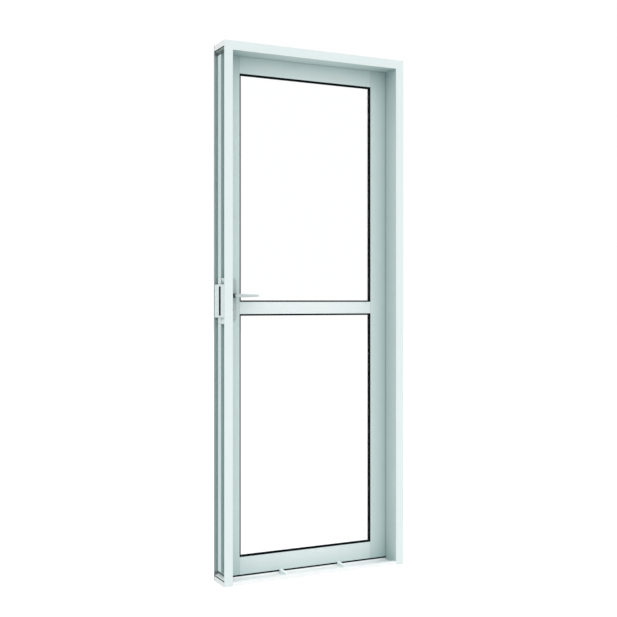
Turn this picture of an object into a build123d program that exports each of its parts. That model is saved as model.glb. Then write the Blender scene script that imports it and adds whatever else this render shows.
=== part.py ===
from build123d import *
import os

# An aluminium swing door with two panes of clear glass in its own frame, in millimetres.
# Origin: middle of the sill's underside. +X runs to the hinge side, +Y to the side that the
# door opens to, +Z up. The front, with the deep reveal, faces -Y.

# Frame, overall
frame_width = 800.0
frame_height = 2100.0
frame_depth = 112.0
wall = 2.0

# Frame extrusion: inwards from its outer side, and back from its front face
face_width = 35.0
rebate_lap = 12.0
channel_recess = 18.0
rib_front = 46.0
rib_width = 32.0
rib_recess = 4.0
rib_cut_back = 46.0
cleat_leg = 62.0
cleat_inset = 5.0

# Moulded blocks that close the channels at the ends of the jambs
end_block_foot_band = 18.3
end_block_head_band = 22.0
end_block_groove = 3.2
end_block_rise = 6.0
end_block_depth = 107.5
end_block_inset = 0.3
end_block_skin = 8.0
end_seal_inset = 1.0
end_seal_depth = 2.6
end_seal_thickness = 2.3
end_seal_lip = 7.5

# Holes for the wall ties, in the web of each jamb's front groove
tie_hole_radius = 3.25
tie_hole_back = 24.0
tie_end_inset = 250.0
tie_inner_share = 0.375

# Sill
nose_height = 15.0
nose_depth = 16.0
tread_top = 5.0
sill_rear_height = 10.4
sill_foot_width = 12.0
screw_port_radius = 4.0
sill_screw_radius = 2.1
sill_screw_head_radius = 3.4
sill_screw_head_height = 3.0
sill_screw_length = 45.0
stop_pitch = 262.0
stop_shift = 7.0
stop_width = 11.0
stop_rear_height = 21.0

# Leaf
leaf_thickness = 26.0
seal_gap = 3.0
edge_gap = 3.0
leaf_bottom = 17.2
lock_stile_width = 72.0
hinge_stile_width = 82.0
top_rail_height = 77.0
bottom_rail_height = 68.8
mid_rail_height = 48.0
mid_rail_drop = 48.5
rail_joint_gap = 0.5
rail_cleat_length = 32.0

# Glazing
glass_lip = 14.0
glass_edge_cover = 11.0
glass_thickness = 6.0
front_gasket_depth = 5.0
rear_gasket_depth = 4.0
gasket_sight = 6.0
gasket_cover = 7.0
gasket_foot_sight = {"lower": 8.4, "upper": 5.6}
gasket_head_sight = {"lower": 7.0, "upper": 8.6}
gasket_bevel = 0.8
bead_width = 10.0
bead_chamfer = 5.0
bead_wall = 1.5
setting_block_length = 90.0
setting_block_inset = 110.0

# Seals
rebate_seal_width = 8.0
rebate_seal_inset = 2.0
rebate_seal_relief = 0.4
bottom_seal_clearance = 0.4
bottom_seal_base = 1.8
bottom_seal_fin = 2.5
bottom_seal_margin = 0.6

# Lock
lever_height = 1119.0
backset = 41.0
cylinder_drop = 55.0
case_thickness = 16.0
case_wall = 1.5
case_back_gap = 1.5
case_above_lever = 49.0
case_below_cylinder = 40.0
faceplate_length = 235.0
faceplate_thickness = 2.5
faceplate_drop = 23.0
lug_height = 16.0
lug_depth = 10.0
screw_radius = 2.0
screw_head_radius = 3.8
screw_head_height = 1.4

# Follower, spindle and latch
spindle_side = 8.0
spindle_fit = 0.05
hub_radius = 8.4
hub_fit = 0.06
hub_arm_length = 17.0
hub_arm_width = 5.0
hub_arm_thickness = 3.0
hub_arm_lean = 35.0
latch_throw = 12.0
latch_height = 18.0
latch_thickness = 11.0
latch_body_length = 17.0
latch_bevel = 6.5
latch_tail_thickness = 3.0
latch_tail_height = 8.0
latch_tail_rise = 10.0
latch_lug_left = -5.6
latch_lug_width = 3.0
latch_lug_low = 13.0
slide_fit = 0.2

# Deadbolt and profile cylinder
deadbolt_length = 30.0
deadbolt_height = 28.0
deadbolt_thickness = 11.0
cylinder_round_radius = 8.5
cylinder_leg_width = 10.0
cylinder_leg_drop = 24.5
cylinder_stand_out = 0.6
cylinder_screw_drop = 19.5
plug_radius = 6.4
plug_fit = 0.06
cam_width = 10.0
cam_ring_radius = 7.9
cam_tip_radius = 13.0
cam_tip_width = 6.0
cam_fit = 0.2
key_slot_width = 1.8
key_slot_height = 8.0
key_slot_depth = 12.0

# Lever handles and their plates
plate_width = 30.0
plate_length = 158.0
plate_thickness = 8.0
plate_corner = 5.0
plate_edge = 1.8
plate_shell = 2.0
plate_pillar_radius = 5.0
plate_above_lever = 63.5
plate_screw_inset = 9.0
plate_screw_radius = 2.5
plate_hole_fit = 0.08
profile_hole_fit = 0.3
lever_neck_radius = 6.6
lever_bush_radius = 8.2
lever_stand_off = 45.0
lever_length = 93.0
lever_root_radius = 7.4
lever_tip_radius = 4.0
lever_bar_thickness = 12.0
lever_round = 3.2
lever_seat_gap = 0.3

# Strike plate and the box behind it, in the left jamb
strike_length = 170.0
strike_width = 22.0
strike_thickness = 1.5
strike_hole_margin = 2.0
box_drop = 21.0
box_base_length = 178.0
box_base_thickness = 3.0
box_length = 129.0
box_wall = 2.0
box_face_inset = 0.4
box_corner = 6.0
box_slot_front = 40.0
box_slot_width = 20.0
box_slot_length = 114.0
box_slot_depth = 13.0
box_side_gap = 2.0
box_screw_spacing = 150.0
box_screw_back = 56.0
box_screw_head_radius = 5.5
box_liner_inset = 0.3
box_liner_wall = 1.2

# Hinges
hinge_end_inset = 240.0
hinge_length = 90.0
hinge_wing_thickness = 3.0
hinge_wing_width = 15.0
hinge_leaf_wing_width = 24.0
hinge_barrel_radius = 7.5
hinge_axis_back = 8.0
hinge_pin_radius = 3.5
hinge_pin_fit = 0.06
hinge_knuckle = 26.0
hinge_knuckle_gap = 0.3
hinge_wing_clearance = 0.7
hinge_screw_length = 7.0

# Places that follow from the sizes above
left_side = -frame_width / 2
right_side = frame_width / 2
front_face = -frame_depth / 2
rear_face = frame_depth / 2
leaf_front = rear_face - leaf_thickness
leaf_middle = rear_face - leaf_thickness / 2
stop_back = leaf_front - seal_gap
stop_depth = stop_back - front_face
rebate_side = face_width - rebate_lap
leaf_left = left_side + rebate_side + edge_gap
leaf_right = right_side - rebate_side - edge_gap
leaf_top = frame_height - rebate_side - edge_gap
sight_left = leaf_left + lock_stile_width
sight_right = leaf_right - hinge_stile_width
sight_top = leaf_top - top_rail_height
sight_bottom = leaf_bottom + bottom_rail_height
mid_rail_centre = lever_height - mid_rail_drop
mid_rail_top = mid_rail_centre + mid_rail_height / 2
mid_rail_bottom = mid_rail_centre - mid_rail_height / 2
glass_front = leaf_front + wall + front_gasket_depth
glass_rear = glass_front + glass_thickness
bead_front = glass_rear + rear_gasket_depth
lock_axis = leaf_left + backset
cylinder_height = lever_height - cylinder_drop
case_front = leaf_left + faceplate_thickness
case_back = sight_left - glass_lip - wall - case_back_gap
case_near = leaf_middle - case_thickness / 2
case_far = leaf_middle + case_thickness / 2
case_top = lever_height + case_above_lever
case_bottom = cylinder_height - case_below_cylinder
plate_top = lever_height + plate_above_lever
plate_bottom = plate_top - plate_length
plate_face = leaf_front - plate_thickness
plate_screw_heights = (plate_top - plate_screw_inset, plate_bottom + plate_screw_inset)
faceplate_middle = lever_height - faceplate_drop
faceplate_screw_heights = (
    faceplate_middle - faceplate_length / 2 + lug_height / 2,
    faceplate_middle + faceplate_length / 2 - lug_height / 2,
)
strike_middle = (lever_height + cylinder_height) / 2
box_centre = lever_height - box_drop
box_slot_low = front_face + box_slot_front
box_slot_high = box_slot_low + box_slot_width
hinge_heights = (
    leaf_bottom + hinge_end_inset,
    (leaf_bottom + leaf_top) / 2,
    leaf_top - hinge_end_inset,
)
hinge_axis_x = leaf_right + edge_gap / 2
hinge_axis_y = rear_face + hinge_axis_back
sill_port_near = nose_depth / 2
sill_port_far = frame_depth - leaf_thickness / 2
panes = {"lower": (sight_bottom, mid_rail_bottom), "upper": (mid_rail_top, sight_top)}


# Simple solids


def block(x0, x1, y0, y1, z0, z1):
    """A box between two corners."""
    middle = Pos((x0 + x1) / 2, (y0 + y1) / 2, (z0 + z1) / 2)
    return middle * Box(x1 - x0, y1 - y0, z1 - z0)


def rod_x(x0, x1, y, z, radius):
    """A round bar along X."""
    return Pos((x0 + x1) / 2, y, z) * Rot(0, 90, 0) * Cylinder(radius, x1 - x0)


def rod_y(x, y0, y1, z, radius):
    """A round bar along Y."""
    return Pos(x, (y0 + y1) / 2, z) * Rot(90, 0, 0) * Cylinder(radius, y1 - y0)


def rod_z(x, y, z0, z1, radius):
    """A round bar along Z."""
    return Pos(x, y, (z0 + z1) / 2) * Cylinder(radius, z1 - z0)


def prism(axis, points, start, stop):
    """A polygon, given in the two other axes, drawn out along one axis."""
    places = {
        "x": [(start, a, b) for a, b in points],
        "y": [(a, start, b) for a, b in points],
        "z": [(a, b, start) for a, b in points],
    }
    directions = {"x": (1, 0, 0), "y": (0, 1, 0), "z": (0, 0, 1)}
    face = Face(Wire.make_polygon([Vector(*place) for place in places[axis]], close=True))
    return extrude(face, amount=stop - start, dir=directions[axis])


def group(pieces):
    """Separate solids that share one file."""
    return Compound(children=list(pieces))


def countersunk_y(x, y_face, z, length, direction):
    """A countersunk screw along Y, its head flush with y_face, pointing to +Y or -Y."""
    head = Pos(x, y_face + direction * screw_head_height / 2, z) * Rot(-90 * direction, 0, 0)
    cone = head * Cone(screw_head_radius, screw_radius, screw_head_height)
    tip = y_face + direction * length
    return cone + rod_y(x, min(y_face, tip), max(y_face, tip), z, screw_radius)


def countersunk_x(x_face, y, z, length, direction, head_radius=screw_head_radius):
    """A countersunk screw along X, its head flush with x_face, pointing to +X or -X."""
    head = Pos(x_face + direction * screw_head_height / 2, y, z) * Rot(0, 90 * direction, 0)
    cone = head * Cone(head_radius, screw_radius, screw_head_height)
    tip = x_face + direction * length
    return cone + rod_x(min(x_face, tip), max(x_face, tip), y, z, screw_radius)


def to_rear(piece):
    """The same piece on the other face of the leaf."""
    return piece.mirror(Plane(origin=(0, leaf_middle, 0), z_dir=(0, 1, 0)))


def to_right(piece):
    """The same piece on the right side of the frame."""
    return piece.mirror(Plane.YZ)


# Frame extrusions


def frame_bar(length):
    """One length of the frame extrusion: outer side at x = 0, front face at y = 0.

    A closed chamber stands behind the face, the outer side is an open channel with a hollow
    rib along its middle, and the rear corner is rebated for the leaf.
    """
    outline = [
        (0, 0),
        (face_width, 0),
        (face_width, stop_depth),
        (rebate_side, stop_depth),
        (rebate_side, frame_depth),
        (0, frame_depth),
    ]
    bar = prism("z", outline, 0, length)
    bar -= block(-1, channel_recess, wall, stop_depth, 0, length)
    bar -= block(-1, rebate_side - wall, stop_depth, frame_depth - wall, 0, length)
    bar -= block(channel_recess + wall, face_width - wall, wall, stop_depth - wall, 0, length)
    rib_back = rib_front + rib_width
    bar += block(rib_recess, channel_recess, rib_front, rib_back, rib_cut_back, length - rib_cut_back)
    bar -= block(
        rib_recess + wall,
        channel_recess,
        rib_front + wall,
        rib_back - wall,
        rib_cut_back,
        length - rib_cut_back,
    )
    return bar


def tie_holes():
    """Holes for the wall ties in the left jamb's web."""
    holes = []
    outer = frame_height - 2 * tie_end_inset
    for spacing in (outer, outer * tie_inner_share):
        for side in (-1, 1):
            height = frame_height / 2 + side * spacing / 2
            start = left_side + channel_recess - 1
            stop = start + wall + 2
            holes.append(rod_x(start, stop, front_face + tie_hole_back, height, tie_hole_radius))
    return holes


def sill_screw_places():
    """Height and depth of the two screws at each end of the sill."""
    return (
        (front_face + sill_port_near, nose_height / 2),
        (front_face + sill_port_far, sill_rear_height / 2),
    )


def plain_left_jamb():
    """Left jamb, mitred at the top, without the cuts for the lock."""
    reach = 2 * face_width
    keep = [
        (left_side, 0),
        (left_side + reach, 0),
        (left_side + reach, frame_height - reach),
        (left_side, frame_height),
    ]
    jamb = Pos(left_side, front_face, 0) * frame_bar(frame_height)
    jamb &= prism("y", keep, front_face - 1, rear_face + 1)
    for hole in tie_holes():
        jamb -= hole
    for y, z in sill_screw_places():
        jamb -= rod_x(left_side + channel_recess - 1, left_side + face_width + 1, y, z, sill_screw_radius)
    return jamb


def strike_window(x0, x1, margin):
    """The space that both bolts pass through."""
    low = cylinder_height - deadbolt_height / 2 - margin
    high = lever_height + latch_height / 2 + margin
    half = latch_thickness / 2 + margin
    return block(x0, x1, leaf_middle - half, leaf_middle + half, low, high)


def strike_screws():
    """Two screws through the strike plate into the jamb."""
    inset = strike_hole_margin * 4
    screws = []
    for side in (-1, 1):
        height = strike_middle + side * (strike_length / 2 - inset)
        face = left_side + rebate_side + strike_thickness
        screws.append(countersunk_x(face, leaf_middle, height, 9.0, -1))
    return screws


def box_screws():
    """Two screws that hold the strike box to the web."""
    screws = []
    for side in (-1, 1):
        height = box_centre + side * box_screw_spacing / 2
        face = left_side + channel_recess - box_base_thickness
        place = front_face + box_screw_back
        screws.append(countersunk_x(face, place, height, 9.0, 1, box_screw_head_radius))
    return screws


def left_jamb():
    """Lock-side jamb, cut for the bolts and for the strike box."""
    jamb = plain_left_jamb()
    half = box_base_length / 2
    jamb -= block(
        left_side - 1,
        left_side + channel_recess,
        front_face + rib_front - 1,
        front_face + rib_front + rib_width + 1,
        box_centre - half,
        box_centre + half,
    )
    side = left_side + rebate_side
    jamb -= strike_window(side - wall - 1, side + 1, strike_hole_margin + 1)
    for screw in strike_screws() + box_screws():
        jamb -= screw
    return jamb


def right_jamb():
    """Hinge-side jamb."""
    jamb = to_right(plain_left_jamb())
    for screw in hinge_screws("frame"):
        jamb -= screw
    return jamb


def head():
    """Head of the frame, the same extrusion, mitred at both ends."""
    reach = 2 * face_width
    keep = [
        (left_side, frame_height),
        (right_side, frame_height),
        (right_side - reach, frame_height - reach),
        (left_side + reach, frame_height - reach),
    ]
    lying = Plane(origin=(left_side, front_face, frame_height), x_dir=(0, 0, -1), z_dir=(1, 0, 0))
    bar = lying.location * frame_bar(frame_width)
    return bar & prism("y", keep, front_face - 1, rear_face + 1)


def corner_cleats():
    """Angles inside the chambers that tie the mitred corners."""
    near = front_face + wall + cleat_inset
    far = stop_back - wall - cleat_inset
    outer = channel_recess + wall
    inner = face_width - wall
    upright = block(
        left_side + outer,
        left_side + inner,
        near,
        far,
        frame_height - inner - cleat_leg,
        frame_height - outer,
    )
    level = block(
        left_side + outer,
        left_side + inner + cleat_leg,
        near,
        far,
        frame_height - inner,
        frame_height - outer,
    )
    cleat = upright + level
    return group([cleat, to_right(cleat)])


def end_block(band):
    """Moulded block in the lower end of the left jamb's channel.

    Its outer side is a flat band. Above a groove its top is a ledge that rises to the web, and
    it is hollow behind, where the sill's screws are.
    """
    ledge = band + end_block_groove
    profile = [
        (end_block_inset, 0),
        (end_block_inset, band),
        (end_seal_depth, band),
        (end_seal_depth, ledge),
        (channel_recess, ledge + end_block_rise),
        (channel_recess, 0),
    ]
    side = [(left_side + u, z) for u, z in profile]
    solid = prism("y", side, front_face + wall, front_face + end_block_depth)
    hollow = block(
        left_side + end_block_skin + wall,
        left_side + channel_recess,
        front_face + 2 * wall,
        front_face + end_block_depth - wall,
        0,
        ledge,
    )
    return solid - hollow


def end_seal(band):
    """Black seal in the end block's groove, behind its rear end and along the web."""
    ledge = band + end_block_groove
    crest = ledge + end_block_rise
    near = front_face + wall
    far = front_face + end_block_depth
    outer = left_side + end_seal_inset
    web = left_side + channel_recess
    level = block(outer, left_side + end_seal_depth, near, far, band, ledge)
    upright = block(outer, web, far, far + end_seal_thickness, band, crest + end_seal_lip)
    strip = block(web - end_seal_inset, web, near, far, crest, crest + end_seal_lip)
    return level + upright + strip


def at_top(piece):
    """The same piece at the upper end of the jamb."""
    return piece.mirror(Plane(origin=(0, 0, frame_height / 2), z_dir=(0, 0, 1)))


def end_blocks(side):
    """The two end blocks of one jamb."""
    pieces = [end_block(end_block_foot_band), at_top(end_block(end_block_head_band))]
    if side == "right":
        pieces = [to_right(piece) for piece in pieces]
    return group(pieces)


def end_seals():
    """The seals of all four end blocks."""
    pieces = [end_seal(end_block_foot_band), at_top(end_seal(end_block_head_band))]
    return group(pieces + [to_right(piece) for piece in pieces])


# Sill


def sill_profile(length):
    """Section of the sill drawn out along X, from x = 0."""
    near = front_face
    tread_start = near + nose_depth - wall
    tread_end = stop_back + seal_gap + wall
    tread = block(0, length, tread_start, tread_end, tread_top - wall, tread_top)
    nose = block(0, length, near, near + nose_depth, 0, nose_height)
    nose -= block(0, length, near + wall, near + nose_depth - wall, wall, nose_height - wall)
    box = block(0, length, leaf_front, rear_face, 0, sill_rear_height)
    box -= block(0, length, leaf_front + wall, rear_face - wall, wall, sill_rear_height - wall)
    bar = tread + nose + box
    bar += block(0, length, -sill_foot_width / 2, sill_foot_width / 2, 0, tread_top - wall)
    for y, z in sill_screw_places():
        bar += rod_x(0, length, y, z, screw_port_radius)
        bar += block(0, length, y - wall / 2, y + wall / 2, wall, z)
        bar -= rod_x(0, length, y, z, sill_screw_radius)
    return bar


def sill():
    """Threshold between the jambs, wider at the back where the jambs are rebated."""
    wide = frame_width - 2 * rebate_side
    bar = Pos(left_side + rebate_side, 0, 0) * sill_profile(wide)
    for x0 in (left_side, right_side - face_width):
        bar -= block(x0, x0 + face_width, front_face - 1, stop_back, -1, nose_height + 1)
    return bar


def sill_screws():
    """Screws through the jambs into the screw ports of the sill."""
    screws = []
    for y, z in sill_screw_places():
        seat = left_side + channel_recess
        if y > stop_back:
            seat = left_side + rebate_side - wall
        screw = rod_x(seat - sill_screw_head_height, seat, y, z, sill_screw_head_radius)
        screw += rod_x(seat, seat + sill_screw_length, y, z, sill_screw_radius)
        screws += [screw, to_right(screw)]
    return group(screws)


def sill_stops():
    """Two moulded stops across the tread, which the foot of the leaf closes against."""
    front = front_face + nose_depth
    rear = leaf_front - bottom_seal_clearance
    profile = [(front, tread_top), (front, nose_height), (rear, stop_rear_height), (rear, tread_top)]
    pieces = []
    for side in (-1, 1):
        middle = stop_shift + side * stop_pitch / 2
        pieces.append(prism("x", profile, middle - stop_width / 2, middle + stop_width / 2))
    return group(pieces)


# Leaf extrusions


def leaf_bar(width, length):
    """One length of stile: outer edge at x = 0, front face at y = 0, lip towards +X."""
    tube = block(0, width - glass_lip, 0, leaf_thickness, 0, length)
    tube -= block(wall, width - glass_lip - wall, wall, leaf_thickness - wall, 0, length)
    return tube + block(width - glass_lip, width, 0, wall, 0, length)


def lock_stile():
    """Lock-side stile, cut for the lock, its plates and its cylinder."""
    length = leaf_top - leaf_bottom
    stile = Pos(leaf_left, leaf_front, leaf_bottom) * leaf_bar(lock_stile_width, length)
    half = faceplate_length / 2
    stile -= block(
        leaf_left - 1,
        leaf_left + wall,
        leaf_front + wall,
        rear_face - wall,
        faceplate_middle - half,
        faceplate_middle + half,
    )
    stile -= rod_y(lock_axis, leaf_front - 1, rear_face + 1, lever_height, hub_radius + 2)
    stile -= profile_hole(leaf_front - 1, rear_face + 1, profile_hole_fit)
    for height in plate_screw_heights:
        stile -= rod_y(lock_axis, leaf_front - 1, rear_face + 1, height, plate_screw_radius + 0.5)
    return stile


def hinge_stile():
    """Hinge-side stile."""
    length = leaf_top - leaf_bottom
    stile = Pos(-leaf_right, leaf_front, leaf_bottom) * leaf_bar(hinge_stile_width, length)
    stile = to_right(stile)
    for screw in hinge_screws("leaf"):
        stile -= screw
    return stile


def rail(z_low, z_high, lip_below, lip_above):
    """A rail between the stiles, its face cut back where the stiles' lips pass."""
    tube_low = z_low + (glass_lip if lip_below else 0)
    tube_high = z_high - (glass_lip if lip_above else 0)
    tube_left = sight_left - glass_lip
    tube_right = sight_right + glass_lip
    bar = block(tube_left, tube_right, leaf_front, rear_face, tube_low, tube_high)
    bar -= block(
        tube_left,
        tube_right,
        leaf_front + wall,
        rear_face - wall,
        tube_low + wall,
        tube_high - wall,
    )
    if lip_below:
        bar += block(sight_left, sight_right, leaf_front, leaf_front + wall, z_low, tube_low)
    if lip_above:
        bar += block(sight_left, sight_right, leaf_front, leaf_front + wall, tube_high, z_high)
    joint_left = sight_left + rail_joint_gap
    joint_right = sight_right - rail_joint_gap
    for x0, x1 in ((tube_left, joint_left), (joint_right, tube_right)):
        bar -= block(x0, x1, leaf_front - 1, leaf_front + wall, z_low - 1, z_high + 1)
    return bar


def top_rail():
    """Rail at the head of the leaf."""
    return rail(sight_top, leaf_top, True, False)


def mid_rail():
    """Rail between the two panes."""
    return rail(mid_rail_bottom, mid_rail_top, True, True)


def bottom_rail():
    """Rail at the foot of the leaf."""
    return rail(leaf_bottom, sight_bottom, False, True)


def rail_cleats():
    """Blocks in the ends of the rails, which tie them to the stiles."""
    spans = (
        (sight_top + glass_lip, leaf_top),
        (mid_rail_bottom + glass_lip, mid_rail_top - glass_lip),
        (leaf_bottom, sight_bottom - glass_lip),
    )
    pieces = []
    for low, high in spans:
        for x0 in (sight_left - glass_lip, sight_right + glass_lip - rail_cleat_length):
            pieces.append(
                block(
                    x0,
                    x0 + rail_cleat_length,
                    leaf_front + wall,
                    rear_face - wall,
                    low + wall,
                    high - wall,
                )
            )
    return group(pieces)


# Glazing


def ring(pane, outside, inside, y0, y1):
    """A rectangular ring round a pane, measured from the sight line, outwards positive."""
    low, high = panes[pane]
    solid = block(
        sight_left - outside,
        sight_right + outside,
        y0,
        y1,
        low - outside,
        high + outside,
    )
    hole = block(
        sight_left - inside,
        sight_right + inside,
        y0 - 1,
        y1 + 1,
        low - inside,
        high + inside,
    )
    return solid - hole


def glass(pane):
    """One pane of clear glass."""
    low, high = panes[pane]
    return block(
        sight_left - glass_edge_cover,
        sight_right + glass_edge_cover,
        glass_front,
        glass_rear,
        low - glass_edge_cover,
        high + glass_edge_cover,
    )


def front_gasket(pane):
    """Gasket between the lip and the glass, with a bevelled edge to the front."""
    low, high = panes[pane]
    gasket = ring(pane, gasket_cover, -gasket_sight, leaf_front + wall, glass_front)
    x0 = sight_left + gasket_sight
    x1 = sight_right - gasket_sight
    foot = low + gasket_foot_sight[pane]
    head_edge = high - gasket_head_sight[pane]
    gasket -= block(x0, x1, leaf_front, glass_rear, foot, head_edge)
    gasket += block(x0, x1, leaf_front + wall, glass_front, low, foot)
    gasket += block(x0, x1, leaf_front + wall, glass_front, head_edge, high)
    corners = inner_opening_edges(gasket, leaf_front + wall, pane)
    return chamfer(corners, gasket_bevel)


def rear_gasket(pane):
    """Gasket between the glass and the beads."""
    gasket = ring(pane, gasket_cover, -gasket_sight, glass_rear, bead_front)
    corners = inner_opening_edges(gasket, bead_front, pane)
    return chamfer(corners, gasket_bevel)


def inner_opening_edges(solid, y, pane):
    """Edges round the opening of a gasket in the plane y."""
    low, high = panes[pane]
    chosen = []
    for edge in solid.edges():
        middle = edge.center()
        inside_x = sight_left < middle.X < sight_right
        inside_z = low < middle.Z < high
        if abs(middle.Y - y) < 0.01 and inside_x and inside_z:
            chosen.append(edge)
    return chosen


def bead_profile(inset):
    """Bead section: across from its seat, and back from its front, less an inset all round."""
    depth = rear_face - bead_front
    return [
        (inset, inset),
        (bead_width - inset, inset),
        (bead_width - inset, depth - bead_chamfer),
        (bead_width - bead_chamfer - inset / 2, depth - inset),
        (inset, depth - inset),
    ]


def bead_set(pane):
    """Four clip-in beads of one pane, the level ones running between the stiles."""
    low, high = panes[pane]
    x0 = sight_left - glass_lip
    x1 = sight_right + glass_lip
    z0 = low - glass_lip
    z1 = high + glass_lip
    pieces = []
    for seat, sign in ((z0, 1), (z1, -1)):
        outline = [(bead_front + t, seat + sign * w) for w, t in bead_profile(0)]
        inner = [(bead_front + t, seat + sign * w) for w, t in bead_profile(bead_wall)]
        pieces.append(prism("x", outline, x0, x1) - prism("x", inner, x0, x1))
    for seat, sign in ((x0, 1), (x1, -1)):
        outline = [(seat + sign * w, bead_front + t) for w, t in bead_profile(0)]
        inner = [(seat + sign * w, bead_front + t) for w, t in bead_profile(bead_wall)]
        start = z0 + bead_width
        stop = z1 - bead_width
        pieces.append(prism("z", outline, start, stop) - prism("z", inner, start, stop))
    return group(pieces)


def setting_blocks():
    """Blocks that carry the lower edges of the panes."""
    pieces = []
    for low, _ in panes.values():
        for x0 in (
            sight_left + setting_block_inset,
            sight_right - setting_block_inset - setting_block_length,
        ):
            pieces.append(
                block(
                    x0,
                    x0 + setting_block_length,
                    glass_front,
                    glass_rear,
                    low - glass_lip,
                    low - glass_edge_cover,
                )
            )
    return group(pieces)


# Seals


def rebate_seal(place):
    """Seal on the stop, one side of the frame at a time."""
    far = leaf_front - rebate_seal_relief
    start = face_width - rebate_seal_inset - rebate_seal_width
    stop = face_width - rebate_seal_inset
    if place == "top":
        return block(
            left_side + start,
            right_side - start,
            stop_back,
            far,
            frame_height - stop,
            frame_height - start,
        )
    seal = block(left_side + start, left_side + stop, stop_back, far, nose_height, frame_height - stop)
    return seal if place == "left" else to_right(seal)


def bottom_seal():
    """Seal under the leaf: a base strip with three fins down to the sill."""
    x0 = leaf_left + bottom_seal_margin
    x1 = leaf_right - bottom_seal_margin
    near = leaf_front + bottom_seal_margin
    far = rear_face - bottom_seal_margin
    low = sill_rear_height + bottom_seal_clearance
    seal = block(x0, x1, near, far, leaf_bottom - bottom_seal_base, leaf_bottom)
    middle = (near + far) / 2
    for y in (near, middle - bottom_seal_fin / 2, far - bottom_seal_fin):
        seal += block(x0, x1, y, y + bottom_seal_fin, low, leaf_bottom - bottom_seal_base)
    return seal


# Lock


def profile_hole(y0, y1, fit):
    """The keyhole-shaped space of a profile cylinder."""
    hole = rod_y(lock_axis, y0, y1, cylinder_height, cylinder_round_radius + fit)
    half = cylinder_leg_width / 2 + fit
    low = cylinder_height - cylinder_leg_drop
    foot = low + cylinder_leg_width / 2
    hole += block(lock_axis - half, lock_axis + half, y0, y1, foot, cylinder_height)
    return hole + rod_y(lock_axis, y0, y1, foot, half)


def bolt_windows(x0, x1):
    """Windows for the two bolts in a plate that they slide through."""
    half = latch_thickness / 2 + slide_fit
    tall = latch_height / 2 + slide_fit
    latch_window = block(x0, x1, leaf_middle - half, leaf_middle + half, lever_height - tall, lever_height + tall)
    half = deadbolt_thickness / 2 + slide_fit
    tall = deadbolt_height / 2 + slide_fit
    low = cylinder_height - tall
    return latch_window + block(x0, x1, leaf_middle - half, leaf_middle + half, low, cylinder_height + tall)


def lock_case():
    """Steel case of the lock, open where the bolts, follower, cylinder and screws pass."""
    case = block(case_front, case_back, case_near, case_far, case_bottom, case_top)
    case -= block(
        case_front + case_wall,
        case_back - case_wall,
        case_near + case_wall,
        case_far - case_wall,
        case_bottom + case_wall,
        case_top - case_wall,
    )
    case -= bolt_windows(case_front - 1, case_front + case_wall + 1)
    case -= rod_y(lock_axis, case_near - 1, case_far + 1, lever_height, hub_radius + hub_fit)
    case -= profile_hole(case_near - 1, case_far + 1, profile_hole_fit)
    for height in plate_screw_heights:
        case -= rod_y(lock_axis, case_near - 1, case_far + 1, height, plate_screw_radius + 0.5)
    screw_height = cylinder_height - cylinder_screw_drop
    case -= rod_x(case_front - 1, case_front + case_wall + 1, leaf_middle, screw_height, plate_screw_radius)
    return case


def lock_faceplate():
    """Plate on the leaf's edge that the bolts come out of."""
    half = faceplate_length / 2
    plate = block(
        leaf_left,
        leaf_left + faceplate_thickness,
        leaf_front + wall,
        rear_face - wall,
        faceplate_middle - half,
        faceplate_middle + half,
    )
    plate -= bolt_windows(leaf_left - 1, leaf_left + faceplate_thickness + 1)
    for screw in faceplate_screw_set() + [cylinder_screw()]:
        plate -= screw
    return plate


def faceplate_screw_set():
    """The two screws of the faceplate."""
    heights = faceplate_screw_heights
    return [countersunk_x(leaf_left, leaf_middle, height, 12.0, 1) for height in heights]


def lock_lugs():
    """Blocks inside the stile that the ends of the faceplate are screwed to."""
    pieces = []
    for height in faceplate_screw_heights:
        lug = block(
            case_front,
            case_front + lug_depth,
            leaf_front + wall,
            rear_face - wall,
            height - lug_height / 2,
            height + lug_height / 2,
        )
        for screw in faceplate_screw_set():
            lug -= screw
        pieces.append(lug)
    return group(pieces)


def follower():
    """Hub that the spindle turns, with the arm that draws the latch back."""
    hub = rod_y(lock_axis, case_near, case_far, lever_height, hub_radius)
    arm_near = case_near + case_wall + slide_fit
    arm = block(
        -hub_arm_width / 2,
        hub_arm_width / 2,
        arm_near,
        arm_near + hub_arm_thickness,
        0,
        hub_arm_length,
    )
    arm = Pos(lock_axis, 0, lever_height) * Rot(0, -hub_arm_lean, 0) * arm
    half = spindle_side / 2 + spindle_fit
    square = block(
        lock_axis - half,
        lock_axis + half,
        case_near - 1,
        case_far + 1,
        lever_height - half,
        lever_height + half,
    )
    return hub + arm - square


def spindle():
    """Square bar through both levers and the follower."""
    half = spindle_side / 2
    reach = lever_stand_off * 0.6
    return block(
        lock_axis - half,
        lock_axis + half,
        leaf_front - reach,
        rear_face + reach,
        lever_height - half,
        lever_height + half,
    )


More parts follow.
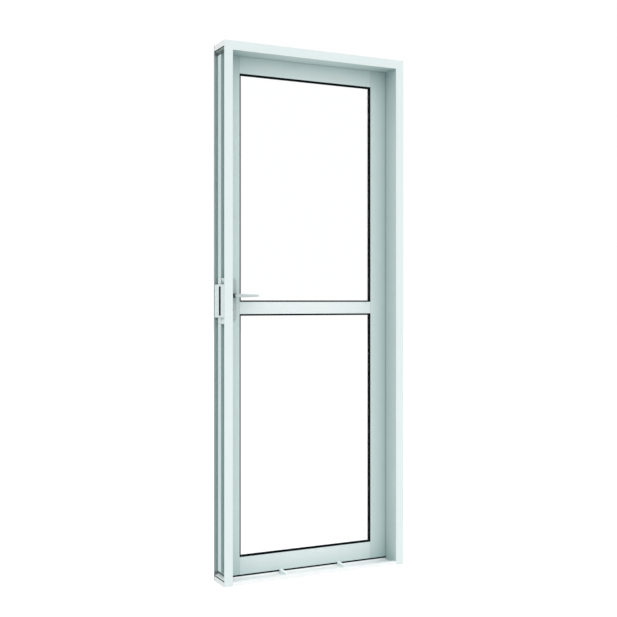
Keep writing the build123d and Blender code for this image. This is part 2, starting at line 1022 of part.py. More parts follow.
def latch_bolt():
    """Spring latch: bevelled head, body and a tail that passes over the follower."""
    half = latch_thickness / 2
    near = leaf_middle - half
    far = leaf_middle + half
    tip = leaf_left - latch_throw
    back = leaf_left + latch_body_length
    bevel = [(tip, near + latch_bevel), (tip + latch_throw, near)]
    outline = [(tip, far)] + bevel + [(back, near), (back, far)]
    bolt = prism("z", outline, lever_height - latch_height / 2, lever_height + latch_height / 2)
    tail_near = case_near + case_wall + 2 * slide_fit + hub_arm_thickness + slide_fit
    tail_far = tail_near + latch_tail_thickness
    tail_low = lever_height + latch_tail_rise
    tail_high = tail_low + latch_tail_height
    tail_end = lock_axis + latch_lug_left + latch_lug_width
    bolt += block(back - latch_tail_height, tail_end, tail_near, tail_far, tail_low, tail_high)
    bolt += block(back - latch_tail_height, back, tail_near, tail_far, lever_height, tail_high)
    lug_low = lever_height + latch_lug_low
    lug_left = lock_axis + latch_lug_left
    lug_near = case_near + case_wall + slide_fit
    return bolt + block(lug_left, tail_end, lug_near, tail_near, lug_low, tail_high)


def deadbolt():
    """Square-ended bolt that the key throws."""
    half = deadbolt_thickness / 2
    tall = deadbolt_height / 2
    bolt = block(
        leaf_left,
        leaf_left + deadbolt_length,
        leaf_middle - half,
        leaf_middle + half,
        cylinder_height - tall,
        cylinder_height + tall,
    )
    return chamfer(bolt.edges().filter_by(Axis.Z).group_by(Axis.X)[0], wall / 2)


def cylinder_ends():
    """Where the profile cylinder starts and stops, just proud of both plates."""
    stand = plate_thickness + cylinder_stand_out
    return leaf_front - stand, rear_face + stand


def cylinder_body():
    """Profile cylinder with its bore, its gap for the cam and its fixing hole."""
    near, far = cylinder_ends()
    body = profile_hole(near, far, 0)
    body -= rod_y(lock_axis, near - 1, far + 1, cylinder_height, plug_radius + plug_fit)
    gap = cam_width / 2
    reach = (cam_tip_radius**2 + (cam_tip_width / 2) ** 2) ** 0.5 + cam_fit
    body -= block(
        lock_axis - cylinder_round_radius - 1,
        lock_axis + cylinder_round_radius + 1,
        leaf_middle - gap,
        leaf_middle + gap,
        cylinder_height - reach,
        cylinder_height + cylinder_round_radius + 1,
    )
    return body - cylinder_screw()


def cylinder_screw():
    """Long screw from the faceplate into the cylinder."""
    height = cylinder_height - cylinder_screw_drop
    cone = Pos(leaf_left + screw_head_height / 2, leaf_middle, height) * Rot(0, 90, 0)
    head_end = cone * Cone(screw_head_radius + 0.5, plate_screw_radius, screw_head_height)
    end = lock_axis + plate_screw_radius
    return head_end + rod_x(leaf_left, end, leaf_middle, height, plate_screw_radius)


def key_slot(near, far):
    """Slot for the key in the face of a plug."""
    half = key_slot_width / 2
    return block(
        lock_axis - half,
        lock_axis + half,
        near,
        far,
        cylinder_height - key_slot_height / 2,
        cylinder_height + key_slot_height / 2,
    )


def cylinder_plugs():
    """Turning plugs at both ends of the cylinder."""
    near, _ = cylinder_ends()
    plug = rod_y(lock_axis, near, leaf_middle - cam_width / 2, cylinder_height, plug_radius)
    plug -= key_slot(near, near + key_slot_depth)
    return group([plug, to_rear(plug)])


def cylinder_cam():
    """Cam between the plugs, its tip down when the bolt is drawn back."""
    half = cam_width / 2
    near = leaf_middle - half
    far = leaf_middle + half
    ring_part = rod_y(lock_axis, near, far, cylinder_height, cam_ring_radius)
    low = cylinder_height - cam_tip_radius
    tip = block(
        lock_axis - cam_tip_width / 2,
        lock_axis + cam_tip_width / 2,
        near + cam_fit,
        far - cam_fit,
        low,
        cylinder_height,
    )
    return ring_part + tip


# Levers and plates


def plate_blank():
    """Front plate: rounded cover, hollow behind, with two screw pillars."""
    outline = RectangleRounded(plate_width, plate_length, plate_corner)
    middle = Pos(lock_axis, leaf_front, (plate_top + plate_bottom) / 2) * Rot(90, 0, 0)
    solid = middle * extrude(outline, amount=plate_thickness)
    front_edges = solid.edges().filter_by_position(Axis.Y, plate_face - 0.01, plate_face + 0.01)
    solid = fillet(front_edges, plate_edge)
    inner = RectangleRounded(
        plate_width - 2 * plate_shell,
        plate_length - 2 * plate_shell,
        plate_corner - plate_shell,
    )
    solid -= middle * extrude(inner, amount=plate_thickness - plate_shell)
    for height in plate_screw_heights:
        solid += rod_y(lock_axis, plate_face + plate_shell, leaf_front, height, plate_pillar_radius)
    boss = lever_neck_radius + plate_hole_fit + plate_shell
    solid += rod_y(lock_axis, plate_face + plate_shell, leaf_front, lever_height, boss)
    hole_radius = lever_neck_radius + plate_hole_fit
    solid -= rod_y(lock_axis, plate_face - 1, leaf_front + 1, lever_height, hole_radius)
    return solid - profile_hole(plate_face - 1, leaf_front + 1, profile_hole_fit)


def plate_screw_set():
    """Screws from the rear plate through the stile into the front plate's pillars."""
    screws = []
    face = rear_face + plate_thickness
    for height in plate_screw_heights:
        cone = Pos(lock_axis, face - screw_head_height / 2, height) * Rot(90, 0, 0)
        head_end = cone * Cone(screw_head_radius + 0.7, plate_screw_radius, screw_head_height)
        shank = rod_y(lock_axis, plate_face + plate_shell, face, height, plate_screw_radius)
        screws.append(head_end + shank)
    return screws


def plate_front():
    """Long plate on the front, with blind pillars."""
    plate = plate_blank()
    for screw in plate_screw_set():
        plate -= screw
    return plate


def plate_rear():
    """Long plate on the rear, with countersunk holes."""
    plate = to_rear(plate_blank())
    for screw in plate_screw_set():
        plate -= screw
    return plate


def lever_bar_back():
    """Where the back of the front lever's bar lies."""
    return leaf_front - lever_stand_off + lever_bar_thickness / 2


def spindle_hole():
    """Square hole for the spindle in the front lever."""
    half = spindle_side / 2
    return block(
        lock_axis - half,
        lock_axis + half,
        leaf_front - lever_stand_off * 0.6,
        leaf_front,
        lever_height - half,
        lever_height + half,
    )


def lever_front():
    """Lever handle: a neck on the spindle and a tapered bar with rounded edges."""
    root = Circle(lever_root_radius)
    tip = Pos(lever_length - lever_tip_radius, 0) * Circle(lever_tip_radius)
    outline = make_hull(root.edges() + tip.edges())
    bar = extrude(outline, amount=lever_bar_thickness)
    bar = fillet(bar.edges(), lever_round)
    handle = Pos(lock_axis, lever_bar_back(), lever_height) * Rot(90, 0, 0) * bar
    neck_start = lever_bar_back() - lever_bar_thickness / 2
    handle += rod_y(lock_axis, neck_start, leaf_front - wall, lever_height, lever_neck_radius)
    return handle - spindle_hole()


def lever_bush():
    """Black bush round the neck, between the lever's bar and its plate."""
    near = lever_bar_back()
    far = plate_face - lever_seat_gap
    bush = rod_y(lock_axis, near, far, lever_height, lever_bush_radius)
    return bush - rod_y(lock_axis, near - 1, far + 1, lever_height, lever_neck_radius)


def lever_bushes():
    """The bushes of both levers."""
    return group([lever_bush(), to_rear(lever_bush())])


def lever_rear():
    """Lever on the rear side."""
    return to_rear(lever_front())


# Strike


def strike_plate():
    """Plate on the rebate of the left jamb, with holes for both bolts."""
    x0 = left_side + rebate_side
    x1 = x0 + strike_thickness
    half = strike_width / 2
    plate = block(
        x0,
        x1,
        leaf_middle - half,
        leaf_middle + half,
        strike_middle - strike_length / 2,
        strike_middle + strike_length / 2,
    )
    for centre, tall, wide in (
        (lever_height, latch_height, latch_thickness),
        (cylinder_height, deadbolt_height, deadbolt_thickness),
    ):
        plate -= block(
            x0 - 1,
            x1 + 1,
            leaf_middle - wide / 2 - strike_hole_margin,
            leaf_middle + wide / 2 + strike_hole_margin,
            centre - tall / 2 - strike_hole_margin,
            centre + tall / 2 + strike_hole_margin,
        )
    for screw in strike_screws():
        plate -= screw
    return plate


def strike_box():
    """Moulded box in the jamb's channel: base, raised box with a deep slot, open to the bolts."""
    web = left_side + channel_recess
    face = left_side + box_face_inset
    near = front_face + wall + box_side_gap
    far = rear_face - wall - box_side_gap
    half = box_length / 2
    base_far = stop_back
    base_half = box_base_length / 2
    base_low = box_centre - base_half
    base_high = box_centre + base_half
    body = block(web - box_base_thickness, web, near, base_far, base_low, base_high)
    lobe = block(face, web, near, far, box_centre - half, box_centre + half)
    lobe = fillet(lobe.edges().filter_by(Axis.X), box_corner)
    back_part = block(
        web - 1,
        left_side + rebate_side - wall,
        stop_back,
        far,
        box_centre - half,
        box_centre + half,
    )
    body += lobe + back_part
    for y0, y1, x1 in (
        (near + box_wall, box_slot_low - box_wall, web + 1),
        (box_slot_high + box_wall, far - box_wall, left_side + rebate_side),
    ):
        low = box_centre - half + box_wall
        high = box_centre + half - box_wall
        body -= block(face + box_wall, x1, y0, y1, low, high)
    slot_half = box_slot_length / 2
    body -= block(
        face - 1,
        face + box_slot_depth,
        box_slot_low,
        box_slot_high,
        box_centre - slot_half,
        box_centre + slot_half,
    )
    for screw in box_screws():
        body -= screw
    return body


def strike_liner():
    """Black moulded tray that lines the slot of the strike box."""
    face = left_side + box_face_inset
    half = box_slot_length / 2
    tray = block(
        face + box_liner_inset,
        face + box_slot_depth,
        box_slot_low,
        box_slot_high,
        box_centre - half,
        box_centre + half,
    )
    tray -= block(
        face,
        face + box_slot_depth - box_liner_wall,
        box_slot_low + box_liner_wall,
        box_slot_high - box_liner_wall,
        box_centre - half + box_liner_wall,
        box_centre + half - box_liner_wall,
    )
    return tray


# Hinges


def hinge_screw_heights(middle):
    """Heights of the three screws in each wing of a hinge."""
    step = hinge_length / 3
    return (middle - step, middle, middle + step)


def hinge_screws(wing):
    """Countersunk screws of all three hinges, through one of the wings."""
    start = hinge_barrel_radius + hinge_wing_clearance
    if wing == "frame":
        x = hinge_axis_x + start + hinge_wing_width / 2
    else:
        x = hinge_axis_x - start - hinge_leaf_wing_width / 2
    face = rear_face + hinge_wing_thickness
    screws = []
    for middle in hinge_heights:
        for height in hinge_screw_heights(middle):
            screws.append(countersunk_y(x, face, height, hinge_screw_length, -1))
    return screws


def knuckle_spans(middle):
    """Lowest, middle and highest knuckle of a hinge, from bottom to top."""
    low = middle - hinge_length / 2
    high = middle + hinge_length / 2
    return (
        (low, low + hinge_knuckle),
        (low + hinge_knuckle + hinge_knuckle_gap, high - hinge_knuckle - hinge_knuckle_gap),
        (high - hinge_knuckle, high),
    )


def hinge_wing(middle, wing):
    """One wing of a hinge with its knuckles."""
    spans = knuckle_spans(middle)
    start = hinge_barrel_radius + hinge_wing_clearance
    top = rear_face + hinge_wing_thickness
    low = middle - hinge_length / 2
    high = middle + hinge_length / 2
    if wing == "frame":
        sign, width, own, bore = 1, hinge_wing_width, (spans[0], spans[2]), hinge_pin_radius
    else:
        sign, width, own, bore = -1, hinge_leaf_wing_width, (spans[1],), hinge_pin_radius + hinge_pin_fit
    near_x = hinge_axis_x + sign * start
    far_x = near_x + sign * width
    piece = block(min(near_x, far_x), max(near_x, far_x), rear_face, top, low, high)
    for z0, z1 in own:
        piece += block(min(hinge_axis_x, near_x), max(hinge_axis_x, near_x), rear_face, top, z0, z1)
        piece += rod_z(hinge_axis_x, hinge_axis_y, z0, z1, hinge_barrel_radius)
    if wing == "frame":
        piece -= block(
            hinge_axis_x - 1,
            hinge_axis_x + edge_gap / 2,
            rear_face - 1,
            rear_face + hinge_axis_back - hinge_barrel_radius,
            low,
            high,
        )
    piece -= rod_z(hinge_axis_x, hinge_axis_y, low - 1, high + 1, bore)
    for screw in hinge_screws(wing):
        piece -= screw
    return piece


def hinge_pins():
    """Pins of the three hinges."""
    pieces = []
    for middle in hinge_heights:
        half = hinge_length / 2
        pieces.append(rod_z(hinge_axis_x, hinge_axis_y, middle - half, middle + half, hinge_pin_radius))
    return group(pieces)


# Every piece by name

hinge_names = ("bottom", "middle", "top")
parts = {
    "left_jamb": left_jamb(),
    "right_jamb": right_jamb(),
    "head": head(),
    "corner_cleats": corner_cleats(),
    "end_blocks_left": end_blocks("left"),
    "end_blocks_right": end_blocks("right"),
    "end_seals": end_seals(),
    "sill": sill(),
    "sill_screws": sill_screws(),
    "sill_stops": sill_stops(),
    "rebate_seal_left": rebate_seal("left"),
    "rebate_seal_right": rebate_seal("right"),
    "rebate_seal_top": rebate_seal("top"),
    "strike_plate": strike_plate(),
    "strike_box": strike_box(),
    "strike_liner": strike_liner(),
    "strike_screws": group(strike_screws() + box_screws()),
    "hinge_pins": hinge_pins(),
    "hinge_frame_screws": group(hinge_screws("frame")),
    "lock_stile": lock_stile(),
    "hinge_stile": hinge_stile(),
    "top_rail": top_rail(),
    "mid_rail": mid_rail(),
    "bottom_rail": bottom_rail(),
    "rail_cleats": rail_cleats(),
    "setting_blocks": setting_blocks(),
    "bottom_seal": bottom_seal(),
    "lock_case": lock_case(),
    "lock_faceplate": lock_faceplate(),
    "lock_lugs": lock_lugs(),
    "faceplate_screws": group(faceplate_screw_set()),
    "plate_front": plate_front(),
    "plate_rear": plate_rear(),
    "plate_screws": group(plate_screw_set()),
    "cylinder_body": cylinder_body(),
    "cylinder_screw": cylinder_screw(),
    "hinge_leaf_screws": group(hinge_screws("leaf")),
    "lever_front": lever_front(),
    "lever_rear": lever_rear(),
    "lever_bushes": lever_bushes(),
    "spindle": spindle(),
    "follower": follower(),
    "latch_bolt": latch_bolt(),
    "deadbolt": deadbolt(),
    "cylinder_plugs": cylinder_plugs(),
    "cylinder_cam": cylinder_cam(),
}
for pane in panes:
    parts["glass_" + pane] = glass(pane)
    parts["front_gasket_" + pane] = front_gasket(pane)
    parts["rear_gasket_" + pane] = rear_gasket(pane)
    parts["beads_" + pane] = bead_set(pane)
for name, middle in zip(hinge_names, hinge_heights):
    parts["hinge_frame_wing_" + name] = hinge_wing(middle, "frame")
    parts["hinge_leaf_wing_" + name] = hinge_wing(middle, "leaf")

os.makedirs("parts", exist_ok=True)
for name, piece in parts.items():
    export_step(piece, f"parts/{name}.step")
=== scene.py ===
"""A glazed aluminium swing door in its frame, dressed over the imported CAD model.

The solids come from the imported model. This script gives each of them its finish, cuts the
cross recesses of the screws, adds the shoulders of the strike box, and sets up the studio and
the camera.
"""

import logging
import math
from dataclasses import dataclass, field
from enum import Enum

import bmesh
import bpy
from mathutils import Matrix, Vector


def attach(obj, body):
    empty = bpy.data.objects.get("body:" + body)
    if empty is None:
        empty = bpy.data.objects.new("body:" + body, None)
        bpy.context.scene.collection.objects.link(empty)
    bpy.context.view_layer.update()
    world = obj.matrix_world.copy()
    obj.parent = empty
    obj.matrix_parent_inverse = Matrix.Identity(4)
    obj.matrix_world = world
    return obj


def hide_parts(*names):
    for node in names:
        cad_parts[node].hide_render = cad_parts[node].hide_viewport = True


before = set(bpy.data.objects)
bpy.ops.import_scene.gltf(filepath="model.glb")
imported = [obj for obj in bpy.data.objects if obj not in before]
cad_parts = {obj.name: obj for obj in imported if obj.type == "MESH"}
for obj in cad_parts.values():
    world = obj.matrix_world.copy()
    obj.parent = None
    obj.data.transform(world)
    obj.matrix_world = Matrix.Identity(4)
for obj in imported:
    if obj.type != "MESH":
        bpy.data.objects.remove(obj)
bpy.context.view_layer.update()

log = logging.getLogger("glazed_door")

# Height that divides the upper end blocks from the lower ones, in metres.
DOOR_MIDDLE = 1.0

# Sockets of a colour mix node: it has one set for each kind of value, all with the same names.
MIX_SHARE = 0
MIX_FIRST = 6
MIX_SECOND = 7
MIX_COLOUR = 2

WHITE = (1.0, 1.0, 1.0)


# Finishes


class Slot(Enum):
    """Material slots of the record; no piece in this script takes its finish from them."""

    FRAME = "white_frame"
    MOULDING = "white_moulding"
    FITTINGS = "white_fittings"
    GLASS = "clear_glass"
    RUBBER = "black_rubber"
    PLASTIC = "dark_plastic"
    ALUMINIUM = "bare_aluminium"
    NICKEL = "nickel_brass"
    STEEL = "steel"


class Nodes:
    """Small helper that adds nodes to one material and joins them."""

    def __init__(self, name: str) -> None:
        """Start an empty material with its shader and output.

        Args:
            name: Name of the material.
        """
        self.material = bpy.data.materials.new(name)
        self.material.use_nodes = True
        self.tree = self.material.node_tree
        self.tree.nodes.clear()
        self.output = self.add("ShaderNodeOutputMaterial")
        self.shader = self.add("ShaderNodeBsdfPrincipled")
        self.join(self.shader, "BSDF", self.output, "Surface")
        self.place = self.add("ShaderNodeTexCoord")

    def add(self, kind: str, **settings: object) -> bpy.types.Node:
        """Add one node.

        Args:
            kind: Blender's name for the node type.
            **settings: Properties set on the node.

        Returns:
            The new node.
        """
        node = self.tree.nodes.new(kind)
        for key, value in settings.items():
            setattr(node, key, value)
        return node

    def join(
        self, source: bpy.types.Node, out: str | int, target: bpy.types.Node, into: str | int
    ) -> None:
        """Link an output of one node to an input of another.

        Args:
            source: Node that gives the value.
            out: Its output.
            target: Node that takes the value.
            into: Its input.
        """
        self.tree.links.new(source.outputs[out], target.inputs[into])

    def values(self, node: bpy.types.Node, **numbers: object) -> None:
        """Set input sockets of a node.

        Args:
            node: The node.
            **numbers: Values by socket name, with underscores for spaces.
        """
        for key, value in numbers.items():
            node.inputs[key.replace("_", " ")].default_value = value

    def noise(self, scale: float, detail: float = 2.0, roughness: float = 0.5) -> bpy.types.Node:
        """Noise in the object's own coordinates.

        Args:
            scale: Features per metre.
            detail: Octaves.
            roughness: Weight of the finer octaves.

        Returns:
            The noise node.
        """
        node = self.add("ShaderNodeTexNoise")
        self.values(node, Scale=scale, Detail=detail, Roughness=roughness)
        self.join(self.place, "Object", node, "Vector")
        return node

    def stretched_noise(
        self, stretch: tuple[float, float, float], scale: float, detail: float
    ) -> bpy.types.Node:
        """Noise that is drawn out along an axis, for brushed or drawn metal.

        Args:
            stretch: Scale of each axis before the noise.
            scale: Features per metre.
            detail: Octaves.

        Returns:
            The noise node.
        """
        mapping = self.add("ShaderNodeMapping")
        mapping.inputs["Scale"].default_value = stretch
        self.join(self.place, "Object", mapping, "Vector")
        node = self.add("ShaderNodeTexNoise")
        self.values(node, Scale=scale, Detail=detail)
        self.join(mapping, "Vector", node, "Vector")
        return node

    def spread(self, source: bpy.types.Node, out: str, low: float, high: float) -> bpy.types.Node:
        """Map a 0 to 1 value to a narrow band.

        Args:
            source: Node that gives the value.
            out: Name of its output.
            low: Result for 0.
            high: Result for 1.

        Returns:
            The map range node.
        """
        node = self.add("ShaderNodeMapRange")
        self.values(node, To_Min=low, To_Max=high)
        self.join(source, out, node, "Value")
        return node

    def tint(self, source: bpy.types.Node, out: str, low: tuple, high: tuple) -> bpy.types.Node:
        """Mix two colours by a 0 to 1 value.

        Args:
            source: Node that gives the value.
            out: Name of its output.
            low: Colour for 0.
            high: Colour for 1.

        Returns:
            The colour mix node.
        """
        node = self.add("ShaderNodeMix", data_type="RGBA")
        node.inputs[MIX_FIRST].default_value = (*low, 1.0)
        node.inputs[MIX_SECOND].default_value = (*high, 1.0)
        self.join(source, out, node, MIX_SHARE)
        return node

    def darken(self, colour: bpy.types.Node, mask: bpy.types.Node, shade: tuple) -> bpy.types.Node:
        """Multiply a colour by a shade where a mask is 1.

        Args:
            colour: Colour mix node that gives the colour.
            mask: Node that gives the mask.
            shade: Share of each channel that is left there.

        Returns:
            The colour mix node.
        """
        node = self.add("ShaderNodeMix", data_type="RGBA", blend_type="MULTIPLY")
        node.inputs[MIX_SECOND].default_value = (*shade, 1.0)
        self.join(mask, 0, node, MIX_SHARE)
        self.join(colour, MIX_COLOUR, node, MIX_FIRST)
        return node

    def paint_occlusion_shade(
        self,
        colour: bpy.types.Node,
        reach: float,
        shade_kept: tuple,
        shade_kept_above: tuple | None = None,
    ) -> bpy.types.Node:
        """Paint shade into a colour in corners and recesses, from an ambient occlusion node.

        Args:
            colour: Colour mix node that gives the colour.
            reach: How far away the walls of a recess still count, in metres.
            shade_kept: Share of each channel that is left where the surface is closed in.
            shade_kept_above: The same for the upper half of the door, if it differs.

        Returns:
            The colour mix node.
        """
        near = self.add("ShaderNodeAmbientOcclusion", samples=12)
        self.values(near, Distance=reach)
        shade = self.tint(near, "AO", shade_kept, WHITE)
        if shade_kept_above is not None:
            upper = self.past_level("Z", DOOR_MIDDLE)
            self.join(self.tint(upper, "Value", shade_kept, shade_kept_above), MIX_COLOUR, shade, MIX_FIRST)
        node = self.add("ShaderNodeMix", data_type="RGBA", blend_type="MULTIPLY")
        node.inputs[MIX_SHARE].default_value = 1.0
        self.join(colour, MIX_COLOUR, node, MIX_FIRST)
        self.join(shade, MIX_COLOUR, node, MIX_SECOND)
        return node

    def past_level(self, axis: str, level: float, both_ways: bool = True) -> bpy.types.Node:
        """A value that is 1 where the place along an axis is past a level.

        Args:
            axis: X, Y or Z.
            level: The level in metres.
            both_ways: Whether the level counts on both sides of the origin.

        Returns:
            The node that gives the value.
        """
        split = self.add("ShaderNodeSeparateXYZ")
        self.join(self.place, "Object", split, "Vector")
        past = self.add("ShaderNodeMath", operation="GREATER_THAN")
        past.inputs[1].default_value = level
        if both_ways:
            distance = self.add("ShaderNodeMath", operation="ABSOLUTE")
            self.join(split, axis, distance, 0)
            self.join(distance, 0, past, 0)
        else:
            self.join(split, axis, past, 0)
        return past

    def without(self, mask: bpy.types.Node, rest: bpy.types.Node) -> bpy.types.Node:
        """A value that is 1 where one mask is 1 and another is 0.

        Args:
            mask: Node that gives the first mask.
            rest: Node that gives the second.

        Returns:
            The node that gives the value.
        """
        node = self.add("ShaderNodeMath", operation="SUBTRACT", use_clamp=True)
        self.join(mask, 0, node, 0)
        self.join(rest, 0, node, 1)
        return node

    def either(self, first: bpy.types.Node, second: bpy.types.Node) -> bpy.types.Node:
        """A value that is 1 where one of two masks is.

        Args:
            first: Node that gives the first mask.
            second: Node that gives the second.

        Returns:
            The node that gives the value.
        """
        node = self.add("ShaderNodeMath", operation="MAXIMUM")
        self.join(first, 0, node, 0)
        self.join(second, 0, node, 1)
        return node

    def bump(
        self, source: bpy.types.Node, out: str, strength: float, distance: float
    ) -> bpy.types.Node:
        """Bump from a height value.

        Args:
            source: Node that gives the height.
            out: Name of its output.
            strength: How strongly it shows.
            distance: Height of the relief in metres.

        Returns:
            The bump node.
        """
        node = self.add("ShaderNodeBump")
        self.values(node, Strength=strength, Distance=distance)
        self.join(source, out, node, "Height")
        return node


@dataclass(frozen=True)
class PowderCoat:
    """White powder coat with a fine orange-peel skin."""

    name: str
    colour: tuple[float, float, float] = (0.80, 0.875, 0.87)
    shade: float = 0.975
    cloud: float = 5.0
    rough: float = 0.46
    rough_spread: float = 0.05
    peel: float = 1100.0
    peel_strength: float = 0.12
    peel_height: float = 0.00008
    ior: float = 1.45
    reach: float = 0.28
    # Painted shade left in corners and recesses, in the outer channels and on their ribs.
    shade_kept: tuple[float, float, float] = (0.32, 0.46, 0.46)
    channel_shade: tuple[float, float, float] | None = None
    rib_shade: tuple[float, float, float] = (0.84, 0.915, 0.91)
    channel_side: float = 0.3785
    channel_top: float = 2.0785
    channel_half: float = 0.0545
    rib_rise: float = 0.017
    rib_half: float = 0.0535

    def build(self) -> bpy.types.Material:
        """Make the material.

        Returns:
            The powder-coat material.
        """
        nodes = Nodes(self.name)
        cloud = nodes.noise(self.cloud, 3.0)
        deep = tuple(channel * self.shade for channel in self.colour)
        colour = nodes.tint(cloud, "Fac", deep, self.colour)
        if self.channel_shade is not None:
            colour = self._paint_channel_shade(nodes, colour)
        # Painted shade in corners and recesses.
        shaded = nodes.paint_occlusion_shade(colour, self.reach, self.shade_kept)
        nodes.join(shaded, MIX_COLOUR, nodes.shader, "Base Color")
        peel = nodes.noise(self.peel, 2.0)
        glossy, matt = self.rough - self.rough_spread, self.rough + self.rough_spread
        rough = nodes.spread(peel, "Fac", glossy, matt)
        nodes.join(rough, "Result", nodes.shader, "Roughness")
        relief = nodes.bump(peel, "Fac", self.peel_strength, self.peel_height)
        nodes.join(relief, "Normal", nodes.shader, "Normal")
        nodes.values(nodes.shader, IOR=self.ior)
        return nodes.material

    def _paint_channel_shade(self, nodes: Nodes, colour: bpy.types.Node) -> bpy.types.Node:
        """Paint shade inside the open channels, and a lighter painted shade on their ribs.

        Args:
            nodes: The material in the making.
            colour: Node that gives the full coat's colour.

        Returns:
            The colour mix node.
        """
        jamb_recess, jamb_rib = self._channel(nodes, "X", self.channel_side)
        head_recess, head_rib = self._channel(nodes, "Z", self.channel_top)
        greyed = nodes.darken(colour, nodes.either(jamb_recess, head_recess), self.channel_shade)
        return nodes.darken(greyed, nodes.either(jamb_rib, head_rib), self.rib_shade)

    def _channel(
        self, nodes: Nodes, axis: str, floor: float
    ) -> tuple[bpy.types.Node, bpy.types.Node]:
        """Values that are 1 on the floor and side walls of one outer channel, and on its rib.

        Args:
            nodes: The material in the making.
            axis: X for the jambs and Z for the head.
            floor: Where the channel's floor lies, in metres.

        Returns:
            The two nodes that give the values.
        """
        inner = nodes.without(
            nodes.past_level(axis, floor), nodes.past_level("Y", self.channel_half)
        )
        rib = nodes.without(
            nodes.past_level(axis, floor + self.rib_rise), nodes.past_level("Y", self.rib_half)
        )
        return nodes.without(inner, rib), rib


@dataclass(frozen=True)
class Moulding:
    """Matt moulded plastic with a fine grained skin."""

    name: str
    colour: tuple[float, float, float] = (0.79, 0.875, 0.87)
    shade: float = 0.96
    cloud: float = 18.0
    rough: float = 0.55
    rough_spread: float = 0.06
    grain: float = 2200.0
    grain_strength: float = 0.2
    grain_height: float = 0.00006
    reach: float = 0.10
    # Painted shade in recesses, deeper in the upper half, on the upper ledges and along the rear
    # edge.
    shade_kept: tuple[float, float, float] = (0.28, 0.39, 0.39)
    shade_kept_above: tuple[float, float, float] | None = None
    ledge_shade_above: tuple[float, float, float] | None = None
    ledge_inside: float = 0.3972
    rear_edge: float | None = None
    rear_edge_shade: tuple[float, float, float] = (0.22, 0.27, 0.27)

    def build(self) -> bpy.types.Material:
        """Make the material.

        Returns:
            The plastic material.
        """
        nodes = Nodes(self.name)
        cloud = nodes.noise(self.cloud, 3.0)
        deep = tuple(channel * self.shade for channel in self.colour)
        colour = nodes.tint(cloud, "Fac", deep, self.colour)
        if self.ledge_shade_above is not None:
            colour = self._paint_ledge_shade(nodes, colour)
        if self.rear_edge is not None:
            colour = self._dull_edge(nodes, colour)
        # Painted shade in corners and recesses.
        shaded = nodes.paint_occlusion_shade(colour, self.reach, self.shade_kept, self.shade_kept_above)
        nodes.join(shaded, MIX_COLOUR, nodes.shader, "Base Color")
        grain = nodes.noise(self.grain, 1.0)
        glossy, matt = self.rough - self.rough_spread, self.rough + self.rough_spread
        rough = nodes.spread(grain, "Fac", glossy, matt)
        nodes.join(rough, "Result", nodes.shader, "Roughness")
        relief = nodes.bump(grain, "Fac", self.grain_strength, self.grain_height)
        nodes.join(relief, "Normal", nodes.shader, "Normal")
        return nodes.material

    def _paint_ledge_shade(self, nodes: Nodes, colour: bpy.types.Node) -> bpy.types.Node:
        """Paint shade on the ledges of the upper blocks, which face down into the channel.

        Args:
            nodes: The material in the making.
            colour: Node that gives the full colour.

        Returns:
            The colour mix node.
        """
        upper = nodes.past_level("Z", DOOR_MIDDLE)
        outer = nodes.past_level("X", self.ledge_inside)
        return nodes.darken(colour, nodes.without(upper, outer), self.ledge_shade_above)

    def _dull_edge(self, nodes: Nodes, colour: bpy.types.Node) -> bpy.types.Node:
        """Grey the rear edge, which lies in the shade of the channel's rear wall.

        Args:
            nodes: The material in the making.
            colour: Node that gives the full colour.

        Returns:
            The colour mix node.
        """
        edge = nodes.past_level("Y", self.rear_edge, both_ways=False)
        return nodes.darken(colour, edge, self.rear_edge_shade)


@dataclass(frozen=True)
class Rubber:
    """Black extruded rubber, with a fine grain and a dusty bloom."""

    name: str
    colour: tuple[float, float, float] = (0.001, 0.003, 0.0035)
    bloom: tuple[float, float, float] = (0.003, 0.0075, 0.0085)
    # Grey painted shade on the lips, in place of their black.
    lip: tuple[float, float, float] | None = None
    lip_inside: float = 0.384
    lip_behind: float = 0.0512
    cloud: float = 60.0
    grain: float = 900.0
    rough_low: float = 0.72
    rough_high: float = 0.86
    relief_strength: float = 0.15
    relief_height: float = 0.00008
    ior: float = 1.3
    gloss: float = 0.2

    def build(self) -> bpy.types.Material:
        """Make the material.

        Returns:
            The rubber material.
        """
        nodes = Nodes(self.name)
        cloud = nodes.noise(self.cloud, 4.0)
        colour = nodes.tint(cloud, "Fac", self.colour, self.bloom)
        if self.lip is not None:
            colour = self._paint_lip_shade(nodes, colour)
        nodes.join(colour, MIX_COLOUR, nodes.shader, "Base Color")
        fine = nodes.noise(self.grain, 2.0)
        rough = nodes.spread(fine, "Fac", self.rough_low, self.rough_high)
        nodes.join(rough, "Result", nodes.shader, "Roughness")
        relief = nodes.bump(fine, "Fac", self.relief_strength, self.relief_height)
        nodes.join(relief, "Normal", nodes.shader, "Normal")
        nodes.values(nodes.shader, IOR=self.ior, Specular_IOR_Level=self.gloss)
        return nodes.material

    def _paint_lip_shade(self, nodes: Nodes, colour: bpy.types.Node) -> bpy.types.Node:
        """Make the lips that lie against the web of a jamb and behind the block a grey painted
        shade.

        Args:
            nodes: The material in the making.
            colour: Node that gives the black.

        Returns:
            The colour mix node.
        """
        outward = nodes.past_level("X", self.lip_inside)
        behind = nodes.past_level("Y", self.lip_behind)
        black = nodes.without(outward, behind)
        lip = nodes.tint(black, "Value", self.lip, self.colour)
        nodes.join(colour, MIX_COLOUR, lip, MIX_SECOND)
        return lip


